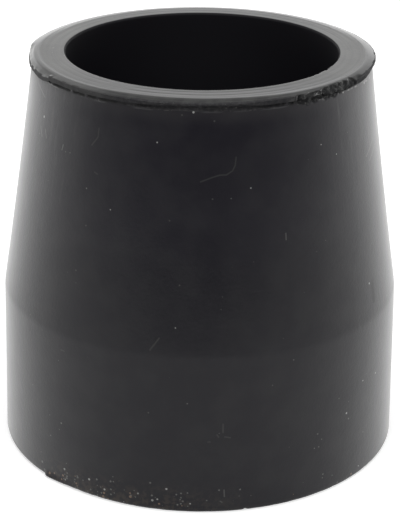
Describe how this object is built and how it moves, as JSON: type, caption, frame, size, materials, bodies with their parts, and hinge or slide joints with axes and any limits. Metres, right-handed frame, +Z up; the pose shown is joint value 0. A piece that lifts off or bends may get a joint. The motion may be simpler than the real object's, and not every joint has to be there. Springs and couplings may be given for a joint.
{
  "type": "rubber cane tip",
  "caption": "Tapered black rubber cane tip with a round blind bore that pushes onto a shaft, a thin lip at the rim and a ring-grooved sole.",
  "frame": {"origin": "centre of the sole, on the ground plane that the tip stands on", "axes": "+Z up along the axis of the bore, out of its mouth; the part is turned, so X and Y are free"},
  "size_m": [0.0334, 0.0334, 0.0332],
  "materials": {
    "black_rubber": "smooth moulded, satin"
  },
  "bodies": {
    "root": {"rubber_tip": "black_rubber"}
  },
  "joints": []
}
